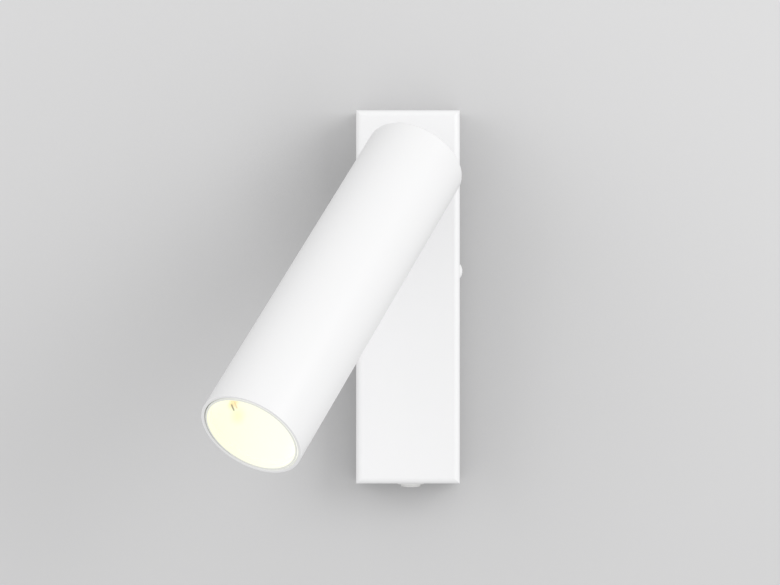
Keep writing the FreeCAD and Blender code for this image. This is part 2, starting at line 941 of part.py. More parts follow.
def swivel_arm():
    """Hollow stem, round flange and flat tongue, with a passage for the lead right through."""
    flange_front = flange_back + flange_thickness
    flange = turned(
        [
            (0, 0),
            (flange_radius, 0),
            (flange_radius, flange_thickness - flange_round),
            (flange_radius - flange_round, flange_thickness),
            (0, flange_thickness),
        ],
        arm_point(flange_back),
        OUTWARD,
    )
    stem = stem_cutter(stem_radius, stem_flat, arm_point(stem_end), arm_point(cover_inside_front))
    journal = rod(stem_radius, arm_point(cover_inside_front), arm_point(flange_back))
    half_tongue = tongue_thickness / 2
    nose = rod(tongue_radius, RIGHT * -half_tongue, RIGHT * half_tongue)
    root = arm_point(flange_front)
    blade = box(
        Vector(-half_tongue, 0, -tongue_radius),
        Vector(half_tongue, root.y + overrun, tongue_radius),
    )
    tongue = nose.fuse(blade).removeSplitter()
    outline_edges = [edge for edge in tongue.Edges if edge.BoundBox.XLength < pick_distance
                     and edge.BoundBox.YMin < root.y + pick_distance]
    tongue = tongue.makeFillet(tongue_edge_round, outline_edges)
    arm = flange.fuse([stem, journal, tongue]).removeSplitter()
    foot_edges = [edge for edge in arm.Edges if abs(edge.CenterOfMass.y - root.y) < pick_distance
                  and edge.BoundBox.YLength < pick_distance
                  and max(edge.BoundBox.XLength, edge.BoundBox.ZLength) < 2 * tongue_radius + pick_distance]
    arm = arm.makeFillet(tongue_root_round, foot_edges)
    bend_point = arm_point(housing_depth + lead_bore_start)
    stem_bore_end = arm_point(housing_depth + 2 * lead_bore_start)
    stem_bore = rod(stem_bore_radius, arm_point(stem_end - overrun), stem_bore_end)
    lead_bore = rod(lead_bore_radius, bend_point, bend_point + lead_direction * (standoff + tongue_radius))
    hinge_bore = rod(
        tilt_screw_radius + running_gap,
        RIGHT * -(half_tongue + overrun),
        RIGHT * (half_tongue + overrun),
    )
    return posed_arm(arm.cut([stem_bore, lead_bore, hinge_bore]))


def friction_discs():
    """The two discs that grip the tongue's sides."""
    return posed_head(Part.makeCompound([
        ring(
            friction_disc_radius,
            tilt_screw_radius + running_gap,
            friction_disc_thickness,
            RIGHT * (side * tongue_thickness / 2),
            RIGHT * side,
        )
        for side in (-1, 1)
    ]))


def tilt_screw():
    """Cross screw that is the tilt hinge's shaft."""
    length = 2 * tilt_seat_half_width + tilt_spring_washer_rise + tilt_nut_thickness
    outline = [
        (0, -tilt_screw_head_height),
        (tilt_screw_head_radius, -tilt_screw_head_height),
        (tilt_screw_head_radius, 0),
        (tilt_screw_radius, 0),
        (tilt_screw_radius, length),
        (0, length),
    ]
    return posed_head(turned(outline, RIGHT * tilt_seat_half_width, RIGHT * -1))


def tilt_spring_washer():
    """Spring washer under the tilt nut."""
    return posed_head(dished_ring(
        tilt_spring_washer_radius,
        tilt_screw_radius + thread_gap,
        tilt_spring_washer_thickness,
        tilt_spring_washer_rise,
        RIGHT * -tilt_seat_half_width,
        RIGHT * -1,
    ))


def tilt_nut():
    """Nut on the tilt screw."""
    return posed_head(hex_nut(
        tilt_nut_across,
        tilt_screw_radius + thread_gap,
        tilt_nut_thickness,
        RIGHT * -(tilt_seat_half_width + tilt_spring_washer_rise),
        RIGHT * -1,
    ))


def swing_cutter(half_slot, reach):
    """Room for the tongue over its whole swing: round in front, open to the back and the rear end."""
    nose = rod(slot_radius, RIGHT * -half_slot, RIGHT * half_slot)
    backward = box(
        Vector(-half_slot, 0, -slot_radius),
        Vector(half_slot, reach, slot_radius + overrun),
    )
    rearward = box(
        Vector(-half_slot, -slot_radius, 0),
        Vector(half_slot, slot_radius, rear_reach + overrun),
    )
    return nose.fuse([backward, rearward])


def screw_hole(radius, place, reach):
    """Cutter for a screw hole through the tube's back."""
    return rod(radius, along_tube(place, tube_radius + overrun), along_tube(place, tube_radius - reach))


def head_tube():
    """Painted tube, slotted at the back of its rear end for the arm."""
    outline = [
        (tube_bore_radius, 0),
        (tube_radius, 0),
        (tube_radius, tube_length),
        (tube_bore_radius, tube_length),
    ]
    tube = head_turned(outline)
    rear = [edge for edge in tube.Edges if edge.BoundBox.ZMin > rear_reach - pick_distance
            and edge.BoundBox.XMax > tube_radius - pick_distance]
    tube = tube.makeFillet(tube_rear_round, rear)
    mouth = [edge for edge in tube.Edges if edge.BoundBox.ZMax < rear_reach - tube_length + pick_distance]
    tube = tube.makeFillet(tube_lip_round, mouth)
    half_slot = slot_half_width + tube_slot_play
    slot = box(
        Vector(-half_slot, 0, -slot_radius),
        Vector(half_slot, tube_radius + overrun, rear_reach + overrun),
    )
    play = tube_screw_radius + tube_screw_play
    holes = [screw_hole(play, place, tube_radius / 2) for place in tube_screw_places()]
    return posed_head(tube.cut([slot] + holes))


def pivot_block():
    """Turned block that closes the tube's rear end and carries the tilt screw in two ears."""
    outline = [
        (0, 0),
        (block_radius - block_edge, 0),
        (block_radius, block_edge),
        (block_radius, block_length),
        (0, block_length),
    ]
    block = head_turned(outline)
    window = box(
        Vector(-window_half_width, -window_far, rear_reach - block_length - overrun),
        Vector(window_half_width, window_near, 0),
    )
    far = block_radius + overrun
    shaft = rod(tilt_screw_radius + thread_gap, RIGHT * -far, RIGHT * far)
    head_recess = rod(tilt_screw_head_radius + tilt_recess_play, RIGHT * tilt_seat_half_width, RIGHT * far)
    nut_recess = rod(
        tilt_nut_across / math.sqrt(3) + tilt_recess_play,
        RIGHT * -tilt_seat_half_width,
        RIGHT * -far,
    )
    screw_bore = screw_hole(tube_screw_radius + thread_gap, block_screw_place, tube_screw_length + overrun)
    cutters = [swing_cutter(slot_half_width, far), window, shaft, head_recess, nut_recess, screw_bore]
    return posed_head(block.cut(cutters))


def tube_screw_places():
    """Distances of the two tube screws from the tube's rear end."""
    return [block_screw_place, sink_screw_place]


def tube_screws():
    """The two screws through the tube's back."""
    return posed_head(Part.makeCompound([
        pan_screw(
            tube_screw_head_radius,
            tube_screw_head_height,
            tube_screw_radius,
            tube_screw_length,
            along_tube(place, tube_radius),
            OUTWARD,
        )
        for place in tube_screw_places()
    ]))


def heat_sink():
    """Turned front with a threaded boss, and a core with lengthwise fins behind it."""
    sink_radius = tube_bore_radius - sink_gap
    boss_start = sink_front - sink_boss_length
    outline = [
        (0, sink_rear),
        (sink_radius, sink_rear),
        (sink_radius, boss_start),
        (sink_boss_radius, boss_start),
        (sink_boss_radius, sink_front),
        (0, sink_front),
    ]
    sink = head_turned(outline)
    half_groove = sink_groove_width / 2
    groove_low = rear_reach - sink_disc_start
    groove_high = rear_reach - sink_rear + overrun
    cutters = []
    for index in range(sink_fin_count):
        floor = sink_core_radius + half_groove
        groove = box(
            Vector(-half_groove, floor, groove_low),
            Vector(half_groove, tube_radius, groove_high),
        )
        groove = groove.fuse(rod(half_groove, Vector(0, floor, groove_low), Vector(0, floor, groove_high)))
        groove.rotate(Vector(), UP, FULL_TURN * (index + 0.5) / sink_fin_count)
        cutters.append(groove)
    cutters.append(rod(
        sink_lead_radius,
        along_tube(sink_rear - overrun, sink_lead_offset),
        along_tube(sink_front + overrun, sink_lead_offset),
    ))
    cutters.append(screw_hole(
        tube_screw_radius + thread_gap,
        sink_screw_place,
        tube_screw_length + overrun,
    ))
    for side in (-1, 1):
        seat = along_tube(sink_front) + RIGHT * (side * board_screw_offset)
        cutters.append(rod(
            board_screw_radius + thread_gap,
            seat + DOWN * overrun,
            seat + UP * (board_screw_length - board_thickness + overrun),
        ))
    return posed_head(sink.cut(cutters))


def led_board():
    """Round metal-core board with a notch for the lead and two screw holes."""
    board = head_turned([
        (0, sink_front),
        (board_radius, sink_front),
        (board_radius, board_front),
        (0, board_front),
    ])
    holes = [rod(
        sink_lead_radius,
        along_tube(sink_front - overrun, sink_lead_offset),
        along_tube(board_front + overrun, sink_lead_offset),
    )]
    for side in (-1, 1):
        across = RIGHT * (side * board_screw_offset)
        holes.append(rod(
            board_screw_radius + thread_gap,
            along_tube(sink_front - overrun) + across,
            along_tube(board_front + overrun) + across,
        ))
    return posed_head(board.cut(holes))


def board_screws():
    """The two screws that press the board on the heat sink."""
    return posed_head(Part.makeCompound([
        pan_screw(
            board_screw_head_radius,
            board_screw_head_height,
            board_screw_radius,
            board_screw_length,
            along_tube(board_front) + RIGHT * (side * board_screw_offset),
            UP,
        )
        for side in (-1, 1)
    ]))


def led_emitter():
    """Square emitter base with a round phosphor pad."""
    base_top = board_front + emitter_base
    base = box(
        along_tube(base_top) + Vector(-emitter_half_width, -emitter_half_width, 0),
        along_tube(board_front) + Vector(emitter_half_width, emitter_half_width, 0),
    )
    pad = head_turned([
        (0, base_top),
        (emitter_dome_radius, base_top),
        (emitter_dome_radius - emitter_dome_height, base_top + emitter_dome_height),
        (0, base_top + emitter_dome_height),
    ])
    return posed_head(base.fuse(pad))


def reflector():
    """Bright bowl from the board to the lens, with a flat rim under the lens."""
    rear = board_front
    rim_rear = reflector_front - reflector_rim_thickness
    depth = reflector_front - rear
    middle_distance = rear + depth * reflector_middle_share
    spread = reflector_mouth_radius ** 2 - reflector_throat_radius ** 2
    middle_radius = math.sqrt(reflector_throat_radius ** 2 + spread * reflector_middle_share)

    def point(radius, distance):
        return Vector(radius, 0, distance)

    throat = point(reflector_throat_radius, rear)
    mouth = point(reflector_mouth_radius, reflector_front)
    inner = Part.Arc(throat, point(middle_radius, middle_distance), mouth).toShape()
    outer_throat = point(reflector_throat_radius + reflector_wall, rear)
    outer_mouth = point(reflector_mouth_radius, rim_rear)
    outer_middle = point(middle_radius + reflector_wall * reflector_skew_share, middle_distance)
    outer = Part.Arc(outer_throat, outer_middle, outer_mouth).toShape()
    rim = Part.makePolygon([
        outer_mouth,
        point(lens_radius, rim_rear),
        point(lens_radius, reflector_front),
        mouth,
    ])
    foot = Part.makePolygon([throat, outer_throat])
    profile = Part.Wire(Part.sortEdges([inner, outer] + rim.Edges + foot.Edges)[0])
    bowl = Part.Face(profile).revolve(Vector(), UP, FULL_TURN)
    return posed_head(stood(bowl, along_tube(0), DOWN))


def front_lens():
    """Clear disc behind the front ring."""
    return posed_head(head_turned([
        (0, reflector_front),
        (lens_radius, reflector_front),
        (lens_radius, lens_front),
        (0, lens_front),
    ]))


def front_ring():
    """Threaded sleeve whose inward lip shows as the pale ring in the tube's mouth."""
    inner = sleeve_radius - sleeve_wall
    rear = sink_front - sink_boss_length
    return posed_head(head_turned([
        (inner, rear),
        (sleeve_radius, rear),
        (sleeve_radius, sleeve_front - sleeve_edge),
        (sleeve_radius - sleeve_edge, sleeve_front),
        (sleeve_window_radius + sleeve_edge, sleeve_front),
        (sleeve_window_radius, sleeve_front - sleeve_edge),
        (sleeve_window_radius, lens_front),
        (inner, lens_front),
    ]))


def terminal_wire_point(pole):
    """Where a wire leaves a pole of the terminal block, on the lamp side."""
    return Vector(pole_places()[pole], -bracket_sheet - terminal_wire_depth, terminal_bottom)


def driver_wire_point(across, side):
    """Where a wire leaves the driver: side -1 is its bottom end, side 1 its top end."""
    height = driver_bottom if side < 0 else driver_top
    return Vector(across, -bracket_sheet - driver_lead_depth, height)


def switch_wire_height():
    """Height halfway between the switch's tags and the driver, where their wires turn."""
    return (switch_tag_end(1).z + driver_bottom) / 2


def live_wire():
    """From the terminal block down the left side to the switch."""
    clamp = terminal_wire_point(0)
    tag = switch_tag_end(-1)
    low = switch_wire_height()
    return routed(
        [
            clamp + UP * (terminal_foot_height / 2),
            clamp + DOWN * wire_drop,
            Vector(-side_channel, clamp.y, clamp.z - side_channel_drop),
            Vector(-side_channel, tag.y, low),
            Vector(tag.x, tag.y, low),
            tag,
        ],
        wire_radius,
    )


def switched_wire():
    """From the switch to the driver's bottom end."""
    tag = switch_tag_end(1)
    entry = driver_wire_point(switched_wire_place, -1)
    low = switch_wire_height()
    return routed([tag, Vector(tag.x, tag.y, low), Vector(entry.x, entry.y, low), entry], wire_radius)


def neutral_wire():
    """From the terminal block down the right side to the driver's bottom end."""
    clamp = terminal_wire_point(1)
    entry = driver_wire_point(neutral_wire_place, -1)
    return routed(
        [
            clamp + UP * (terminal_foot_height / 2),
            clamp + DOWN * wire_drop,
            Vector(side_channel, clamp.y, clamp.z - side_channel_drop),
            Vector(side_channel, entry.y, driver_bottom),
            entry + DOWN * wire_drop,
            entry,
        ],
        wire_radius,
    )


def earth_wire():
    """From the terminal block to the tag under the earth screw, with the tag."""
    clamp = terminal_wire_point(2)
    place = earth_place()
    neck_end = place.z - earth_tag_radius - earth_neck_length
    wire_x = tab_inside_x - earth_tag_thickness / 2 - wire_radius
    wire = routed(
        [
            clamp + UP * (terminal_foot_height / 2),
            clamp + DOWN * wire_drop,
            Vector(earth_channel, clamp.y, clamp.z - wire_drop),
            Vector(earth_channel, clamp.y, side_screw_height + side_screw_radius + wire_radius),
            Vector(wire_x, place.y, neck_end),
            Vector(wire_x, place.y, neck_end + earth_neck_length),
        ],
        wire_radius,
    )
    tag = rod(earth_tag_radius, place, place - RIGHT * earth_tag_thickness)
    neck = box(
        Vector(tab_inside_x - earth_tag_thickness, place.y - wire_radius, neck_end),
        Vector(tab_inside_x, place.y + wire_radius, place.z),
    )
    hole = rod(
        earth_screw_radius + thread_gap,
        place + RIGHT * overrun,
        place - RIGHT * (earth_tag_thickness + overrun),
    )
    return tag.fuse([neck, wire]).removeSplitter().cut(hole)


def housing_lead():
    """Two-core lamp lead from the driver up to the stem."""
    start = driver_wire_point(-lamp_lead_place, 1)
    turn_depth = bracket_sheet + lead_turn_room
    return routed(
        [
            start,
            start + UP * lead_rise,
            Vector(-lead_channel, start.y, terminal_bottom),
            Vector(-lead_channel, start.y, swivel_height - 2 * lead_sweep),
            Vector(-lead_channel / 2, -turn_depth, swivel_height - lead_sweep),
            Vector(0, -turn_depth, swivel_height),
            swivel_point(stem_end),
        ],
        lead_radius,
    )


def lead_exit():
    """Where the lead leaves the tongue's nose, measured from the tilt hinge."""
    bend_point = arm_point(housing_depth + lead_bore_start)
    return bend_point + lead_direction * (standoff - lead_bore_start + lead_nose_reach)


def arm_lead():
    """The lead inside the arm, along the stem and down through the tongue."""
    bend_point = arm_point(housing_depth + lead_bore_start)
    return posed_arm(routed([arm_point(stem_end), bend_point, lead_exit()], lead_radius))


def loop_points():
    """Route of the lead from the arm's nose to the heat sink, in the hanging head's frame."""
    unturned = FreeCAD.Rotation(RIGHT, tilt_rest)
    start = unturned.multVec(lead_exit())
    heading = unturned.multVec(lead_direction)
    swing = start + heading * loop_run
    return [start, swing, Vector(0, swing.y, rear_reach - loop_end)]


def tilt_loop():
    """The flexible stretch of the lead that bends when the head tilts."""
    return posed_head(routed(loop_points(), lead_radius))


def head_lead():
    """The lead from the loop through the heat sink to the board."""
    start = loop_points()[-1]
    return posed_head(routed(
        [
            start,
            Vector(0, start.y, rear_reach - lead_shift_start),
            along_tube(lead_shift_end, sink_lead_offset),
            along_tube(board_front + lead_solder, sink_lead_offset),
        ],
        lead_radius,
    ))


NODES = {
    "wall_bracket": wall_bracket,
    "cable_grommet": cable_grommet,
    "housing_cover": housing_cover,
    "cover_screws": cover_screws,
    "bracket_screws": bracket_screws,
    "earth_screw": earth_screw,
    "terminal_block": terminal_block,
    "terminal_screws": terminal_screws,
    "led_driver": led_driver,
    "switch_body": switch_body,
    "switch_nut": switch_nut,
    "switch_button": switch_button,
    "switch_spring": switch_spring,
    "swivel_washer": swivel_washer,
    "inner_washer": inner_washer,
    "stop_post": stop_post,
    "stop_washer": stop_washer,
    "stem_spring_washer": stem_spring_washer,
    "stem_nut": stem_nut,
    "swivel_arm": swivel_arm,
    "friction_discs": friction_discs,
    "tilt_screw": tilt_screw,
    "tilt_spring_washer": tilt_spring_washer,
    "tilt_nut": tilt_nut,
    "head_tube": head_tube,
    "pivot_block": pivot_block,
    "tube_screws": tube_screws,
    "heat_sink": heat_sink,
    "led_board": led_board,
    "board_screws": board_screws,
    "led_emitter": led_emitter,
    "reflector": reflector,
    "front_lens": front_lens,
    "front_ring": front_ring,
    "live_wire": live_wire,
    "switched_wire": switched_wire,
    "neutral_wire": neutral_wire,
    "earth_wire": earth_wire,
    "housing_lead": housing_lead,
    "arm_lead": arm_lead,
    "tilt_loop": tilt_loop,
    "head_lead": head_lead,
}

os.makedirs("parts", exist_ok=True)
for name, make in NODES.items():
    shape = make()
    print(name, len(shape.Solids), "solids, valid", shape.isValid(), "volume", round(shape.Volume, 1))
    shape.exportStep("parts/" + name + ".step")
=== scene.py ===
import json
import math

import bpy
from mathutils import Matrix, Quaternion, Vector


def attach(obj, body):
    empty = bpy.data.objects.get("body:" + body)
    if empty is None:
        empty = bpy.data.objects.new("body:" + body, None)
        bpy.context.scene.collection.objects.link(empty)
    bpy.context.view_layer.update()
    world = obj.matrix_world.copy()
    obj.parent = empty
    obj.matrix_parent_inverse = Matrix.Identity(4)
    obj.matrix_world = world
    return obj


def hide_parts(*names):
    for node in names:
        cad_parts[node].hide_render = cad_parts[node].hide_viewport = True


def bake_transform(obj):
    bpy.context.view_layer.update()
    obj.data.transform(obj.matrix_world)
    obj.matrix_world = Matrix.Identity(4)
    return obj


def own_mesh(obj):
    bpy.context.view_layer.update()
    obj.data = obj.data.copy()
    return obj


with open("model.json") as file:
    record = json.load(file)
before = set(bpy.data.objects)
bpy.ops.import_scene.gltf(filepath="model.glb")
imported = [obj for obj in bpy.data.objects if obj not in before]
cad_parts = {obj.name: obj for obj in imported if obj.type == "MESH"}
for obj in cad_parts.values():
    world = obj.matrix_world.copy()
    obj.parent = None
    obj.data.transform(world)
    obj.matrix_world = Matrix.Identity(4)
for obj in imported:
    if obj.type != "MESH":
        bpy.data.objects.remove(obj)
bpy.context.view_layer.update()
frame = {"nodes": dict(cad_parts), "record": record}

# Dresses the wall spotlight: finishes for every piece, screws with their recesses and threads,
# welded copies of a spring and a loop of lead, the wall behind the lamp, soft light and the
# camera.
MM = 0.001

# Places from the model, in metres
HOUSING_DEPTH = 25.0 * MM
HOUSING_HALF_WIDTH = 25.0 * MM
HOUSING_HALF_HEIGHT = 90.0 * MM
SHEET_THICKNESS = 1.2 * MM
PIVOT = Vector((0.0, -60.0, 58.5)) * MM
PAN = math.radians(30.3)
TILT = math.radians(37.0)
TUBE_RADIUS = 24.0 * MM
REAR_REACH = 8.5 * MM


def head_point(side, wallward, distance):
    """A place in the lamp head: distance counts along the tube from its rear end."""
    point = Vector((side, wallward, REAR_REACH - distance))
    return PIVOT + head_direction(point)


def head_direction(direction):
    """A direction of the hanging head, turned to its place in the photograph."""
    across, wallward, up = direction
    tilted = Vector((
        across,
        wallward * math.cos(TILT) + up * math.sin(TILT),
        -wallward * math.sin(TILT) + up * math.cos(TILT),
    ))
    return Vector((
        tilted.x * math.cos(PAN) + tilted.z * math.sin(PAN),
        tilted.y,
        -tilted.x * math.sin(PAN) + tilted.z * math.cos(PAN),
    ))


RIGHT = Vector((1.0, 0.0, 0.0))
OUT = Vector((0.0, -1.0, 0.0))
TUBE_AXIS = head_direction(Vector((0.0, 0.0, -1.0)))
TUBE_BACK = head_direction(-OUT)
HEAD_RIGHT = head_direction(RIGHT)


# Node trees

class Tone:
    """A socket of a node tree, on which plain arithmetic can be written."""

    def __init__(self, nodes, socket):
        self.nodes = nodes
        self.socket = socket

    def __add__(self, other):
        return self.nodes.arithmetic("ADD", self, other)

    def __radd__(self, other):
        return self.nodes.arithmetic("ADD", other, self)

    def __sub__(self, other):
        return self.nodes.arithmetic("SUBTRACT", self, other)

    def __rsub__(self, other):
        return self.nodes.arithmetic("SUBTRACT", other, self)

    def __mul__(self, other):
        return self.nodes.arithmetic("MULTIPLY", self, other)

    def __rmul__(self, other):
        return self.nodes.arithmetic("MULTIPLY", other, self)

    def __lt__(self, other):
        return self.nodes.arithmetic("LESS_THAN", self, other)

    def __gt__(self, other):
        return self.nodes.arithmetic("GREATER_THAN", self, other)

    def __abs__(self):
        return self.nodes.arithmetic("ABSOLUTE", self)


class Nodes:
    """A node tree under construction, from an empty one."""

    def __init__(self, owner):
        owner.use_nodes = True
        self.tree = owner.node_tree
        self.tree.nodes.clear()

    def add(self, kind, settings=None, values=None, output=0):
        """Add a node: settings first, then the values or links of its sockets."""
        node = self.tree.nodes.new(kind)
        for name, value in (settings or {}).items():
            setattr(node, name, value)
        for key, value in (values or {}).items():
            socket = node.inputs[key]
            if isinstance(value, Tone):
                self.tree.links.new(value.socket, socket)
            elif socket.type == "RGBA":
                socket.default_value = (*value, 1.0)
            else:
                socket.default_value = value
        return Tone(self, node.outputs[output]) if len(node.outputs) else None

    def arithmetic(self, operation, first, second=0.0):
        """One step of arithmetic on one or two numbers."""
        return self.add("ShaderNodeMath", {"operation": operation}, {0: first, 1: second})


class Finish(Nodes):
    """One material under construction; its patterns lie on the part's own metres."""

    def __init__(self, name):
        self.material = bpy.data.materials.new(name)
        super().__init__(self.material)
        self.place = self.add("ShaderNodeTexCoord", output="Object")

    def noise(self, scale, detail=2.0, vector=None, roughness=0.5):
        """Cloudy pattern from 0 to 1, with its grain per metre as scale."""
        return self.add("ShaderNodeTexNoise", None, {
            "Vector": vector or self.place, "Scale": scale, "Detail": detail,
            "Roughness": roughness,
        })

    def cells(self, scale, feature="F1", output="Distance"):
        """Cell pattern."""
        return self.add("ShaderNodeTexVoronoi", {"feature": feature},
                        {"Vector": self.place, "Scale": scale}, output)

    def part(self, axis):
        """One coordinate of the place."""
        return self.add("ShaderNodeSeparateXYZ", None, {0: self.place}, axis)

    def vector(self, operation, values, output="Vector"):
        """One step of arithmetic on vectors."""
        return self.add("ShaderNodeVectorMath", {"operation": operation}, values, output)

    def offset(self, origin):
        """The way from an origin to the place."""
        return self.vector("SUBTRACT", {0: self.place, 1: tuple(origin)})

    def along(self, direction, origin):
        """Distance along a direction from an origin."""
        way = self.offset(origin)
        return self.vector("DOT_PRODUCT", {0: way, 1: tuple(direction)}, "Value")

    def reach(self, origin):
        """Distance from a point."""
        return self.vector("DISTANCE", {0: self.place, 1: origin}, "Value")

    def from_axis(self, direction, origin):
        """Distance from a line through the origin."""
        cross = self.vector("CROSS_PRODUCT", {0: self.offset(origin), 1: tuple(direction)})
        return self.vector("LENGTH", {0: cross}, "Value")

    def streaks(self, direction, scale, stretch):
        """Noise drawn out along a direction."""
        run = self.along(direction, (0.0, 0.0, 0.0)) * (1.0 - 1.0 / stretch)
        held = self.vector("SCALE", {0: tuple(direction), "Scale": run})
        return self.noise(scale, 3.0, self.vector("SUBTRACT", {0: self.place, 1: held}))

    def mix(self, share, first, second):
        """Blend of two colours."""
        sockets = {0: share, 6: first, 7: second}
        return self.add("ShaderNodeMix", {"data_type": "RGBA"}, sockets, 2)

    def step(self, value, low, high):
        """A soft step of a value from 0 at low to 1 at high."""
        return self.add("ShaderNodeMapRange", {"interpolation_type": "SMOOTHSTEP"},
                        {"Value": value, "From Min": low, "From Max": high})

    def within(self, value, near, far):
        """A soft step of a value from 1 at near down to 0 at far."""
        return 1.0 - self.step(value, near, far)

    def relief(self, height, strength, depth):
        """Bump from a height pattern, with its depth."""
        return self.add("ShaderNodeBump", None,
                        {"Height": height, "Strength": strength, "Distance": depth})

    def surface(self, **values):
        """The shader itself; names with an underscore stand for sockets with a space."""
        named = {key.replace("_", " "): value for key, value in values.items()}
        return self.add("ShaderNodeBsdfPrincipled", None, named)

    def close(self, shader):
        """Join the shader to the output and hand over the material."""
        self.add("ShaderNodeOutputMaterial", None, {"Surface": shader})
        return self.material


# Finishes. Grains count per metre, depths of relief and distances in metres.

FINE_GRAIN = 1500.0
COAT_DEPTH = 0.03 * MM
METAL_DEPTH = 0.02 * MM
POTTING_DEPTH = 0.04 * MM

# The cover's seams: a line's half width, the depth of the ends on which they lie, and their start
# behind the cover's front
SEAM_EDGE = (0.04 * MM, 0.18 * MM)
SEAM_SKIN = 0.2 * MM
SEAM_START = 3.2 * MM

# The resin in the driver's open front
POTTING_HALF_WIDTH = 15.6 * MM
POTTING_FRONT = -18.0 * MM
POTTING_TOP = -10.4 * MM
POTTING_BOTTOM = -55.6 * MM

# Where the heat sink's turned front begins along the tube, and its marks in radians per metre
SINK_FACE = (119.5 * MM, 120.5 * MM)
TURNING_MARKS = 18000.0

# The lit mouth: its span from left to right, over which the painted glow turns from yellower to
# whiter, the ring's inner wall and outer edge as distances from the tube's axis, and the painted
# glow and painted reflection of the emitter's edge in the bowl
MOUTH_SPAN = (-92.0 * MM, -56.0 * MM)
RING_WALL = (21.0 * MM, 21.4 * MM)
RING_BORE = 21.8 * MM
RING_DEPTH = 170.0 * MM
RING_EDGE = (22.00 * MM, 22.12 * MM)
PAD_EDGE = (4.0 * MM, 4.3 * MM)
UPPER_GLOW = (-0.0775, -0.1466, -0.0465)
LOWER_GLOW = (-0.0760, -0.1430, -0.0522)
STROKE_RUN = Vector((1.35, 3.5, -4.1)).normalized()
STROKE_MIDDLE = (-0.0779, -0.1458, -0.0485)
BESIDE_STROKE = (-0.0766, -0.1455, -0.0472)
STROKE_WIDTH = (0.15 * MM, 0.60 * MM)
STROKE_LENGTH = (1.4 * MM, 2.5 * MM)
BESIDE_LENGTH = (1.4 * MM, 2.6 * MM)


def dimmed(colour, share):
    """A colour at a share of its brightness."""
    return tuple(channel * share for channel in colour)


def powder_coat(name, colour, gloss_loss, seams=False):
    """Fine satin powder coat: a faint drift in tone and a fine grain in gloss and relief."""
    f = Finish(name)
    drift = f.noise(14.0)
    grain = f.noise(FINE_GRAIN, 3.0)
    tint = f.mix(drift, dimmed(colour, 0.985), colour)
    height = grain
    if seams:
        # Butt joints of the folded sheet, where the side flaps meet the top and the bottom flap
        joint = abs(abs(f.part("X")) - (HOUSING_HALF_WIDTH - SHEET_THICKNESS))
        line = f.within(joint, *SEAM_EDGE) * (abs(f.part("Z")) > HOUSING_HALF_HEIGHT - SEAM_SKIN)
        line = line * (f.part("Y") > -HOUSING_DEPTH + SEAM_START)
        tint = f.mix(line * 0.55, tint, dimmed(colour, 0.6))
        height = grain - line * 4.0
    return f.close(f.surface(
        Base_Color=tint,
        Roughness=gloss_loss + (grain - 0.5) * 0.16,
        Normal=f.relief(height, 0.25, COAT_DEPTH),
    ))


def plated_steel(name, colour, gloss_loss):
    """Plated steel or plain brass: small crystal patches and fine scratches."""
    f = Finish(name)
    tone = f.add("ShaderNodeSeparateColor", None, {0: f.cells(420.0, output="Color")})
    scratches = f.streaks(Vector((0.3, 0.2, 1.0)).normalized(), 2600.0, 30.0)
    return f.close(f.surface(
        Base_Color=f.mix(tone * 0.6, dimmed(colour, 0.88), colour),
        Metallic=1.0,
        Roughness=gloss_loss + tone * 0.08 + (scratches - 0.5) * 0.12,
        Normal=f.relief(scratches, 0.15, METAL_DEPTH),
    ))


def drawn_aluminium(name, colour, gloss_loss):
    """Bare aluminium with drawing lines along the tube and turning marks round it."""
    f = Finish(name)
    lines = f.streaks(TUBE_AXIS, 3000.0, 60.0)
    depth = f.along(TUBE_AXIS, PIVOT)
    marks = f.arithmetic("SINE", depth * TURNING_MARKS)
    height = lines + marks * f.step(depth, *SINK_FACE) * 0.35
    return f.close(f.surface(
        Base_Color=f.mix(lines, dimmed(colour, 0.86), colour),
        Metallic=1.0,
        Roughness=gloss_loss + (lines - 0.5) * 0.18,
        Normal=f.relief(height, 0.2, METAL_DEPTH),
    ))


def moulded(name, colour, gloss_loss, grain_scale=900.0):
    """Moulded plastic or rubber with a fine spark-eroded grain."""
    f = Finish(name)
    grain = f.noise(grain_scale, 4.0, roughness=0.6)
    return f.close(f.surface(
        Base_Color=f.mix(f.noise(60.0), dimmed(colour, 0.94), colour),
        Roughness=gloss_loss + (grain - 0.5) * 0.2,
        Normal=f.relief(grain, 0.3, COAT_DEPTH),
    ))


def potted_case(name, colour, filling):
    """White case whose open front is filled with pale casting resin."""
    f = Finish(name)
    grain = f.noise(1100.0, 4.0)
    swirl = f.noise(90.0, 3.0)
    inside = (abs(f.part("X")) < POTTING_HALF_WIDTH) * (f.part("Y") < POTTING_FRONT)
    inside = inside * (f.part("Z") < POTTING_TOP) * (f.part("Z") > POTTING_BOTTOM)
    cured = f.mix(swirl, dimmed(filling, 0.9), filling)
    height = grain * (1.0 - inside) + swirl * inside
    return f.close(f.surface(
        Base_Color=f.mix(inside, colour, cured),
        Roughness=0.5 + (grain - 0.5) * 0.2 - inside * 0.25,
        Normal=f.relief(height, 0.25, POTTING_DEPTH),
    ))


def insulation(name, colour, stripe=None):
    """Extruded wire insulation, with a second colour on the side that faces the wall."""
    f = Finish(name)
    dull = f.noise(700.0, 3.0)
    tint = f.mix(dull, dimmed(colour, 0.9), colour)
    if stripe:
        facing = f.add("ShaderNodeTexCoord", output="Normal")
        wallward = f.add("ShaderNodeSeparateXYZ", None, {0: facing}, "Y")
        tint = f.mix(f.step(wallward, -0.12, 0.02), tint, stripe)
    return f.close(f.surface(
        Base_Color=tint,
        Roughness=0.42 + (dull - 0.5) * 0.12,
        Normal=f.relief(dull, 0.15, COAT_DEPTH),
    ))


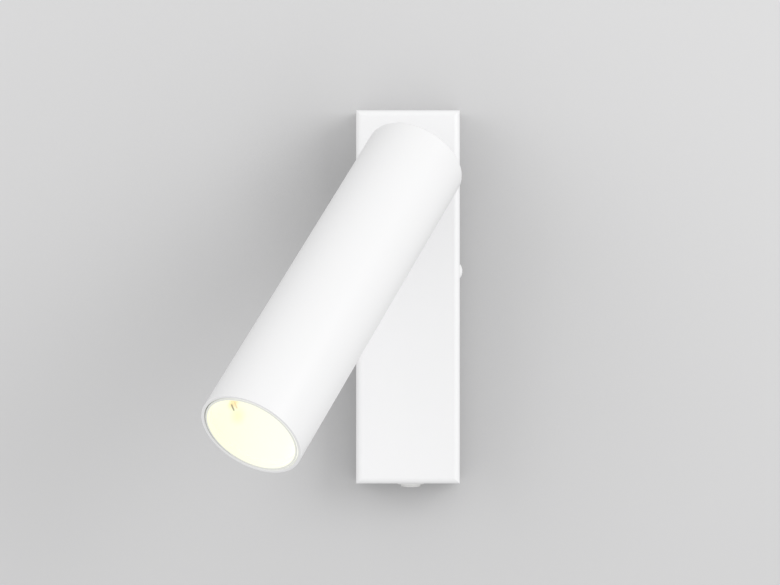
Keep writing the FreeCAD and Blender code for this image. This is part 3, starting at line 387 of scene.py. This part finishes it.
def painted_glow_bowl(name):
    """The reflector bowl with a painted glow for the lamp's light and a small painted reflection
    of the emitter's edge.
    """
    f = Finish(name)
    ripple = f.noise(240.0)
    # Painted glow, yellower to the left of the mouth and whiter to the right, with a faint ripple
    warm = f.mix(f.step(f.part("X"), *MOUTH_SPAN), (1.0, 1.0, 0.66), (1.0, 1.0, 0.82))
    glow = f.mix(ripple * 0.15, warm, (1.0, 1.0, 0.76))
    # Painted glow round the emitter's image: an orange halo above it and a yellow-green one below
    upper = f.within(f.reach(UPPER_GLOW), 0.8 * MM, 4.4 * MM)
    glow = f.mix(upper * 0.85, glow, (1.0, 0.74, 0.28))
    lower = f.within(f.reach(LOWER_GLOW), 0.4 * MM, 5.6 * MM)
    glow = f.mix(lower * 0.60, glow, (0.88, 1.0, 0.42))
    # Painted reflection of the emitter's edge: a dark stroke with a brown one beside it
    run = abs(f.along(STROKE_RUN, STROKE_MIDDLE))
    painted_reflection = f.within(f.from_axis(STROKE_RUN, STROKE_MIDDLE), *STROKE_WIDTH)
    painted_reflection = painted_reflection * f.within(run, *STROKE_LENGTH)
    glow = f.mix(painted_reflection * 0.92, glow, (0.12, 0.09, 0.03))
    beside = f.within(f.from_axis(STROKE_RUN, BESIDE_STROKE), *STROKE_WIDTH)
    beside = beside * f.within(run, *BESIDE_LENGTH)
    glow = f.mix(beside * 0.65, glow, (0.70, 0.40, 0.14))
    return f.close(f.surface(
        Base_Color=f.mix(ripple, (0.05, 0.05, 0.045), (0.07, 0.07, 0.065)),
        Roughness=0.3 + ripple * 0.1,
        Emission_Color=glow,
        Emission_Strength=1.02,
    ))


def painted_glow_ring(name):
    """Pale satin ring with a painted glow on its inner wall and a fainter painted glow over the
    rest of it.
    """
    f = Finish(name)
    grain = f.noise(FINE_GRAIN, 3.0)
    reach = f.from_axis(TUBE_AXIS, PIVOT)
    # Painted glow of the lamp's light on the ring's inner wall and in its bore, over a dark base
    window = f.within(reach, *RING_WALL)
    bore = (reach < RING_BORE) * (f.along(TUBE_AXIS, PIVOT) < RING_DEPTH)
    inside = 1.0 - (1.0 - window) * (1.0 - bore)
    across = f.step(f.part("X"), *MOUTH_SPAN)
    warm = f.mix(across, (0.96, 0.96, 0.68), (0.98, 0.98, 0.80))
    # Painted glow, faint over the rest of the ring and brighter at its outer edge on the right of
    # the mouth
    painted_edge_glow = f.mix(f.step(reach, *RING_EDGE) * across, (0.13, 0.13, 0.12), (0.50, 0.50, 0.46))
    return f.close(f.surface(
        Base_Color=f.mix(inside, (0.66, 0.67, 0.63), (0.10, 0.10, 0.09)),
        Roughness=0.4 + (grain - 0.5) * 0.16,
        Normal=f.relief(grain, 0.25, COAT_DEPTH),
        Emission_Color=f.mix(inside, painted_edge_glow, warm),
        Emission_Strength=0.98,
    ))


def lit_phosphor(name):
    """The emitter: a white frame round the glowing yellow pad; the frame carries a painted glow as
    well.
    """
    f = Finish(name)
    pad = f.within(f.from_axis(TUBE_AXIS, PIVOT), *PAD_EDGE)
    grain = f.noise(2600.0)
    frame_white = f.mix(grain, (0.84, 0.84, 0.80), (0.90, 0.90, 0.86))
    return f.close(f.surface(
        Base_Color=f.mix(pad, frame_white, (0.95, 0.78, 0.22)),
        Roughness=0.45 + (grain - 0.5) * 0.2,
        # The yellow pad is the lamp; the frame's glow is painted light
        Emission_Color=f.mix(pad, (0.80, 0.78, 0.60), (1.0, 0.93, 0.62)),
        Emission_Strength=1.4,
    ))


def solder_mask_and_glow(name):
    """White board: matt mask with a faint pattern of the copper under it, and a faint painted glow
    of the lamp's light.
    """
    f = Finish(name)
    grain = f.noise(1800.0, 3.0)
    copper = f.within(f.cells(260.0, feature="DISTANCE_TO_EDGE"), 0.02, 0.05)
    return f.close(f.surface(
        Base_Color=f.mix(copper * 0.2, (0.88, 0.88, 0.85), (0.80, 0.80, 0.74)),
        Roughness=0.38 + (grain - 0.5) * 0.15,
        Normal=f.relief(copper + grain * 0.2, 0.2, COAT_DEPTH),
        # Painted glow of the lamp's light on the board
        Emission_Color=(0.8, 0.78, 0.62),
        Emission_Strength=0.2,
    ))


def clear_pane(name):
    """Clear lens: mostly see-through, with a faint haze and a glossy face."""
    f = Finish(name)
    haze = f.noise(120.0)
    return f.close(f.surface(
        Base_Color=f.mix(haze, (0.96, 0.97, 0.95), (0.99, 0.99, 0.98)),
        Roughness=0.04 + haze * 0.03,
        Alpha=0.07 + haze * 0.03,
        IOR=1.49,
    ))


# By the record's slots, each with its colour and, where it has one, its roughness
FINISHES = {
    "white_paint": powder_coat("housing_powder_coat", (0.81, 0.81, 0.815), 0.42, seams=True),
    "head_paint": powder_coat("head_powder_coat", (0.78, 0.78, 0.783), 0.36),
    "white_screw": powder_coat("screw_paint", (0.88, 0.88, 0.88), 0.34),
    "ring_paint": painted_glow_ring("front_ring_painted_glow"),
    "zinc_steel": plated_steel("zinc_plate", (0.66, 0.67, 0.68), 0.30),
    "spring_steel": plated_steel("spring_steel_dark", (0.42, 0.43, 0.45), 0.34),
    "brass": plated_steel("plain_brass", (0.78, 0.62, 0.28), 0.26),
    "bare_aluminium": drawn_aluminium("drawn_aluminium", (0.75, 0.76, 0.77), 0.34),
    "bright_metal": painted_glow_bowl("reflector_painted_glow"),
    "board_white": solder_mask_and_glow("board_mask_painted_glow"),
    "phosphor": lit_phosphor("lit_phosphor"),
    "clear_lens": clear_pane("clear_lens_pane"),
    "nylon": moulded("natural_nylon", (0.86, 0.85, 0.80), 0.45),
    "black_rubber": moulded("bush_rubber", (0.035, 0.035, 0.036), 0.62, 1400.0),
    "terminal_plastic": moulded("terminal_polyamide", (0.88, 0.87, 0.81), 0.36),
    "driver_plastic": potted_case("driver_case", (0.85, 0.85, 0.84), (0.52, 0.53, 0.53)),
    "switch_plastic": moulded("switch_housing", (0.80, 0.80, 0.79), 0.34, 1600.0),
    "switch_cap": moulded("button_cap", (0.74, 0.74, 0.73), 0.30, 1600.0),
    "wire_brown": insulation("brown_insulation", (0.20, 0.09, 0.04)),
    "wire_blue": insulation("blue_insulation", (0.05, 0.20, 0.55)),
    "wire_green_yellow": insulation("earth_insulation", (0.08, 0.42, 0.08), (0.82, 0.72, 0.06)),
    "lead_white": insulation("lead_sheath", (0.84, 0.84, 0.82)),
}
SLOTS = {item["node"]: item["material_slot"] for item in frame["record"]["subparts"]}

for node_name, node_object in frame["nodes"].items():
    for slot in node_object.material_slots:
        slot.material = FINISHES[SLOTS[node_name]]


# Pieces that are shaped here: the screws, with cross recesses, slots and thread ridges

WELD_DISTANCE = 0.000001
OVERCUT = 0.1 * MM
THREAD_PITCH = 0.5 * MM
THREAD_ROOT = 0.86
TIP_SHARE = 0.62
TIP_RIDGE = 0.84
CROWN_SHARE = 0.35
DOME_RINGS = 5
SCREW_SMOOTHING = math.radians(32.0)
LEAD_SMOOTHING = math.radians(40.0)


def clear_selection():
    """Leave nothing selected."""
    if bpy.context.mode != "OBJECT":
        bpy.ops.object.mode_set(mode="OBJECT")
    bpy.ops.object.select_all(action="DESELECT")


def select_alone(piece):
    """Select one piece and make it the active one."""
    clear_selection()
    piece.select_set(True)
    bpy.context.view_layer.objects.active = piece


def apply_place():
    """Put the active piece's place, turn and size in its mesh."""
    bpy.ops.object.transform_apply(location=True, rotation=True, scale=True)


def turned_blank(name, stations, segments):
    """A solid of revolution drawn out ring by ring along +Z, from pairs of radius and height."""
    clear_selection()
    radius, height = stations[0]
    bpy.ops.mesh.primitive_circle_add(
        vertices=segments, radius=radius, fill_type="NGON", location=(0.0, 0.0, height))
    blank = bpy.context.object
    blank.name = name
    apply_place()
    bpy.ops.object.mode_set(mode="EDIT")
    bpy.ops.mesh.select_mode(type="FACE")
    bpy.ops.mesh.select_all(action="SELECT")
    for next_radius, next_height in stations[1:]:
        bpy.ops.mesh.extrude_region_move(
            TRANSFORM_OT_translate={"value": (0.0, 0.0, next_height - height)})
        scale = next_radius / radius
        bpy.ops.transform.resize(
            value=(scale, scale, 1.0), center_override=(0.0, 0.0, next_height))
        radius, height = next_radius, next_height
    bpy.ops.mesh.select_all(action="SELECT")
    bpy.ops.mesh.remove_doubles(threshold=WELD_DISTANCE)
    bpy.ops.mesh.normals_make_consistent(inside=False)
    bpy.ops.object.mode_set(mode="OBJECT")
    return blank


def cutter_bar(length, width, top, depth, taper):
    """A bar that narrows downwards, to cut one arm of a recess or a slot."""
    clear_selection()
    bpy.ops.mesh.primitive_cube_add(size=1.0, location=(0.0, 0.0, top - depth / 2))
    bar = bpy.context.object
    bar.scale = (length, width, depth)
    apply_place()
    bpy.ops.object.mode_set(mode="EDIT")
    bpy.ops.mesh.select_mode(type="FACE")
    bpy.ops.mesh.select_all(action="DESELECT")
    bpy.ops.object.mode_set(mode="OBJECT")
    for polygon in bar.data.polygons:
        polygon.select = polygon.normal.z < -0.5
    bpy.ops.object.mode_set(mode="EDIT")
    bpy.ops.transform.resize(
        value=(taper, taper, 1.0), center_override=(0.0, 0.0, top - depth))
    bpy.ops.object.mode_set(mode="OBJECT")
    return bar


def cut(blank, cutters):
    """Take cutters out of a blank."""
    for cutter in cutters:
        select_alone(blank)
        modifier = blank.modifiers.new("cut", "BOOLEAN")
        modifier.operation = "DIFFERENCE"
        modifier.solver = "EXACT"
        modifier.object = cutter
        bpy.ops.object.modifier_apply(modifier="cut")
        bpy.data.objects.remove(cutter)


def dome(radius, rise, top, rings):
    """Stations of a spherical cap that ends near its crown."""
    sphere = (radius ** 2 + rise ** 2) / (2 * rise)
    stations = []
    for index in range(1, rings + 1):
        reach = radius * (1.0 - index / (rings + CROWN_SHARE))
        height = top - sphere + math.sqrt(sphere ** 2 - reach ** 2)
        stations.append((reach, height))
    return stations


def threaded(radius, start, end):
    """Stations of a shank with thread ridges, from its tip up to the head."""
    stations = [(radius * TIP_SHARE, start), (radius * TIP_RIDGE, start + THREAD_PITCH * 0.5)]
    height = start + THREAD_PITCH
    while height < end - THREAD_PITCH:
        stations.append((radius, height))
        stations.append((radius * THREAD_ROOT, height + THREAD_PITCH * 0.5))
        height += THREAD_PITCH
    stations.append((radius * THREAD_ROOT, end))
    return stations


def cross_screw(name, head_radius, head_height, shank_radius, length):
    """A domed screw with a cross recess; its head rests on z = 0 and its shank points down."""
    edge = head_height * 0.35
    stations = threaded(shank_radius, -length, -0.02 * MM)
    stations += [(head_radius, 0.0), (head_radius, edge)]
    stations += dome(head_radius, head_height - edge, head_height, DOME_RINGS)
    blank = turned_blank(name, stations, 40)
    width = head_radius * 0.24
    recess = (head_height + OVERCUT, head_height * 0.8, 0.6)
    cut(blank, [cutter_bar(head_radius, width, *recess), cutter_bar(width, head_radius, *recess)])
    return blank


def slotted_screw(name, radius, length):
    """A headless clamping screw with a slot; its top lies on z = 0."""
    stations = threaded(radius, -length, -0.4 * MM)
    stations += [(radius * 0.96, -0.3 * MM), (radius * 0.96, -0.12 * MM), (radius * 0.84, 0.0)]
    blank = turned_blank(name, stations, 32)
    cut(blank, [cutter_bar(radius * 2.4, radius * 0.3, OVERCUT, 0.7 * MM, 0.9)])
    return blank


def cap_screw(name, head_radius, head_height, shank_radius, length):
    """A cheese-head screw with a hexagonal socket; its head rests on z = 0."""
    bevel = 0.3 * MM
    stations = threaded(shank_radius, -length, -8.0 * MM)
    stations += [(shank_radius, -7.9 * MM), (shank_radius, 0.0), (head_radius, 0.0)]
    stations += [(head_radius, head_height - bevel), (head_radius - bevel, head_height)]
    blank = turned_blank(name, stations, 48)
    clear_selection()
    bpy.ops.mesh.primitive_cylinder_add(
        vertices=6, radius=1.7 * MM, depth=1.8 * MM, location=(0.0, 0.0, head_height - 0.7 * MM))
    cut(blank, [bpy.context.object])
    return blank


def placed(piece, seat, outward, turn):
    """Stand a screw on its seat, its head pointing outward, and put the place in its mesh."""
    piece.rotation_mode = "QUATERNION"
    facing = Vector((0.0, 0.0, 1.0)).rotation_difference(outward)
    piece.rotation_quaternion = facing @ Quaternion((0.0, 0.0, 1.0), turn)
    piece.location = seat
    select_alone(piece)
    apply_place()
    bpy.ops.object.shade_smooth_by_angle(angle=SCREW_SMOOTHING)
    return piece


def fitted(name, pieces, body, slot, nodes):
    """Join pieces to one, give it its finish and let it stand for its nodes."""
    select_alone(pieces[0])
    if len(pieces) > 1:
        for piece in pieces:
            piece.select_set(True)
        bpy.ops.object.join()
    whole = bpy.context.object
    whole.name = name
    whole.data.materials.clear()
    whole.data.materials.append(FINISHES[slot])
    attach(whole, body)
    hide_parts(*nodes)


side_screws = [
    placed(cross_screw("side_screw", 3.3 * MM, 1.6 * MM, 1.75 * MM, 6.0 * MM),
           Vector((side * 25.0, -9.0, 12.5)) * MM, RIGHT * side, 0.2)
    for side in (-1, 1)
]
fitted("cover_side_screws", side_screws, "wall_base", "white_screw", ["cover_screws"])

back_screws = [
    placed(cross_screw("back_screw", 2.75 * MM, 1.8 * MM, 1.5 * MM, 7.5 * MM),
           head_point(0.0, TUBE_RADIUS, place * MM), TUBE_BACK, 0.3)
    for place in (22.5, 132.4)
]
fitted("tube_back_screws", back_screws, "head", "white_screw", ["tube_screws"])

ear_screws = [
    placed(cross_screw("ear_screw", 2.7 * MM, 1.9 * MM, 1.5 * MM, 4.0 * MM),
           Vector((across, -4.0, height)) * MM, OUT, 0.1)
    for across, height in ((-14.8, 12.0), (14.8, 12.0), (0.0, -60.0), (0.0, -6.0))
]
fitted("bracket_ear_screws", ear_screws, "wall_base", "zinc_steel", ["bracket_screws"])

clamp_screws = [
    placed(slotted_screw("clamp_screw", 1.5 * MM, 4.3 * MM),
           Vector((across, -14.5, height)) * MM, OUT, 0.5)
    for across in (-8.6, 0.0, 8.6)
    for height in (8.5, 15.5)
]
fitted("terminal_clamp_screws", clamp_screws, "wall_base", "zinc_steel", ["terminal_screws"])

tag_screw = placed(cross_screw("tag_screw", 3.2 * MM, 2.2 * MM, 2.0 * MM, 2.3 * MM),
                   Vector((21.2, -9.0, 27.5)) * MM, -RIGHT, 0.4)
fitted("earth_tag_screw", [tag_screw], "wall_base", "brass", ["earth_screw"])

light_screws = [
    placed(cross_screw("light_screw", 2.2 * MM, 1.2 * MM, 1.25 * MM, 6.0 * MM),
           head_point(side * 12.96 * MM, 0.0, 146.0 * MM), TUBE_AXIS, 0.4)
    for side in (-1, 1)
]
fitted("board_cross_screws", light_screws, "head", "zinc_steel", ["board_screws"])

hinge_screw = placed(cap_screw("hinge_screw", 3.5 * MM, 2.5 * MM, 2.0 * MM, 33.46 * MM),
                     head_point(14.88 * MM, 0.0, REAR_REACH), HEAD_RIGHT, 0.0)
fitted("tilt_hinge_screw", [hinge_screw], "head", "zinc_steel", ["tilt_screw"])


# Welded copies of the spring and the lead's loop

def flexible(name, node, cuts):
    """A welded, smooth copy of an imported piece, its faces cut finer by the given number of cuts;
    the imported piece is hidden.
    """
    piece = bpy.data.objects.new(name, frame["nodes"][node].data.copy())
    bpy.context.scene.collection.objects.link(piece)
    select_alone(piece)
    bpy.ops.mesh.customdata_custom_splitnormals_clear()
    bpy.ops.object.mode_set(mode="EDIT")
    bpy.ops.mesh.select_all(action="SELECT")
    bpy.ops.mesh.remove_doubles(threshold=WELD_DISTANCE)
    if cuts:
        bpy.ops.mesh.subdivide(number_cuts=cuts)
    bpy.ops.object.mode_set(mode="OBJECT")
    bpy.ops.object.shade_smooth_by_angle(angle=LEAD_SMOOTHING)
    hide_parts(node)
    return piece


spring = flexible("button_spring", "switch_spring", 0)
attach(spring, "wall_base")
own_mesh(spring)

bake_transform(flexible("tilt_lead_loop", "tilt_loop", 3))


# Wall, light and camera

WALL_SIZE = 4.0
WALL_GAP = 0.2 * MM
WALL_FADE = 0.30
UPRIGHT = (math.radians(90.0), 0.0, 0.0)

# The painted shade on the wall near the lamp: how far it reaches, its strength with the rise
# between two heights, and the two places where it is weaker or stronger, each with its soft edge
SHADE_REACH = 0.20
SHADE_STRENGTH = 0.34
SHADE_RISE = 0.14
SHADE_HEIGHTS = (-0.14, 0.06)
ABOVE_PLACE = (0.0, 0.0, 0.100)
ABOVE_EDGE = (0.014, 0.060)
ABOVE_LOSS = 0.26
BESIDE_PLACE = (-0.061, 0.0, 0.062)
BESIDE_EDGE = (0.004, 0.044)
BESIDE_GAIN = 0.28


def wall_painted_light_and_shade():
    """Pale grey wall with painted light, lighter towards the upper right, and painted shade close
    to the lamp.

    The painted shade is strongest to the left of the head's upper end, and weakest above and below
    the housing. It is open behind the housing, and from behind it isn't there.
    """
    f = Finish("wall_grey")
    # Painted light: the wall's tone rises towards the upper right
    slope = f.part("Z") + f.part("X") * 0.35
    rise = f.step(slope, -WALL_FADE, WALL_FADE)
    painted_light_tone = f.mix(rise, (0.538, 0.537, 0.540), (0.601, 0.600, 0.603))
    # Painted shade: the wall darkens where parts nearby close it in, by a weight that changes from
    # place to place
    openness = f.add("ShaderNodeAmbientOcclusion", {"samples": 8}, {"Distance": SHADE_REACH}, "AO")
    above = f.within(f.reach(ABOVE_PLACE), *ABOVE_EDGE)
    beside = f.within(f.reach(BESIDE_PLACE), *BESIDE_EDGE)
    painted_shade_weight = f.step(f.part("Z"), *SHADE_HEIGHTS) * SHADE_RISE + SHADE_STRENGTH
    painted_shade_weight = painted_shade_weight - above * ABOVE_LOSS + beside * BESIDE_GAIN
    tint = f.mix((1.0 - openness) * painted_shade_weight, painted_light_tone, (0.0, 0.0, 0.0))
    mottle = f.noise(9.0)
    body = f.surface(Base_Color=tint, Roughness=0.9 + (mottle - 0.5) * 0.05)
    clear = f.add("ShaderNodeBsdfTransparent")
    behind = f.add("ShaderNodeNewGeometry", output="Backfacing")
    hidden_width = abs(f.part("X")) < HOUSING_HALF_WIDTH - MM
    hidden_height = abs(f.part("Z")) < HOUSING_HALF_HEIGHT - MM
    absent = 1.0 - (1.0 - behind) * (1.0 - hidden_width * hidden_height)
    return f.close(f.add("ShaderNodeMixShader", None, {0: absent, 1: body, 2: clear}))


clear_selection()
bpy.ops.mesh.primitive_plane_add(size=WALL_SIZE, location=(0.0, WALL_GAP, 0.0), rotation=UPRIGHT)
wall = bpy.context.object
wall.name = "wall"
apply_place()
wall.data.materials.append(wall_painted_light_and_shade())

# Even light from all round, which the camera and the shiny pieces see as a plain grey
world = bpy.data.worlds.new("studio")
bpy.context.scene.world = world
sky = Nodes(world)
seen = sky.add("ShaderNodeLightPath", output="Is Camera Ray")
for ray in ("Is Glossy Ray", "Is Transmission Ray"):
    seen = sky.arithmetic("MAXIMUM", seen, sky.add("ShaderNodeLightPath", output=ray))
ambient = sky.add("ShaderNodeBackground", None, {"Color": (1.0, 1.0, 1.0), "Strength": 0.93})
shown = sky.add("ShaderNodeBackground", None, {"Color": (0.68, 0.68, 0.68), "Strength": 1.0})
choice = sky.add("ShaderNodeMixShader", None, {0: seen, 1: ambient, 2: shown})
sky.add("ShaderNodeOutputWorld", None, {"Surface": choice})

# Square soft boxes that point at the lamp: name, place, width and power
SOFT_BOXES = (
    ("right_soft_box", Vector((1.40, -1.28, 0.60)), 1.2, 12.6),
    ("left_soft_box", Vector((-1.40, -1.30, 0.45)), 1.2, 5.4),
    ("rear_soft_box", Vector((0.6, 2.2, 0.9)), 1.6, 22.0),
)
for name, place, width, power in SOFT_BOXES:
    light = bpy.data.lights.new(name, "AREA")
    light.shape = "SQUARE"
    light.size = width
    light.energy = power
    holder = bpy.data.objects.new(name, light)
    bpy.context.scene.collection.objects.link(holder)
    holder.location = place
    holder.rotation_euler = (-place).to_track_quat("-Z", "Y").to_euler()

CAMERA_PLACE = (-8.64 * MM, -1440.0 * MM, 2.1 * MM)
FOCAL_LENGTH = 135.7
SENSOR_WIDTH = 36.0
camera_data = bpy.data.cameras.new("camera")
camera_data.lens = FOCAL_LENGTH
camera_data.sensor_width = SENSOR_WIDTH
camera = bpy.data.objects.new("camera", camera_data)
bpy.context.scene.collection.objects.link(camera)
camera.location = CAMERA_PLACE
camera.rotation_euler = UPRIGHT
bpy.context.scene.camera = camera
bpy.context.scene.view_settings.view_transform = "Standard"
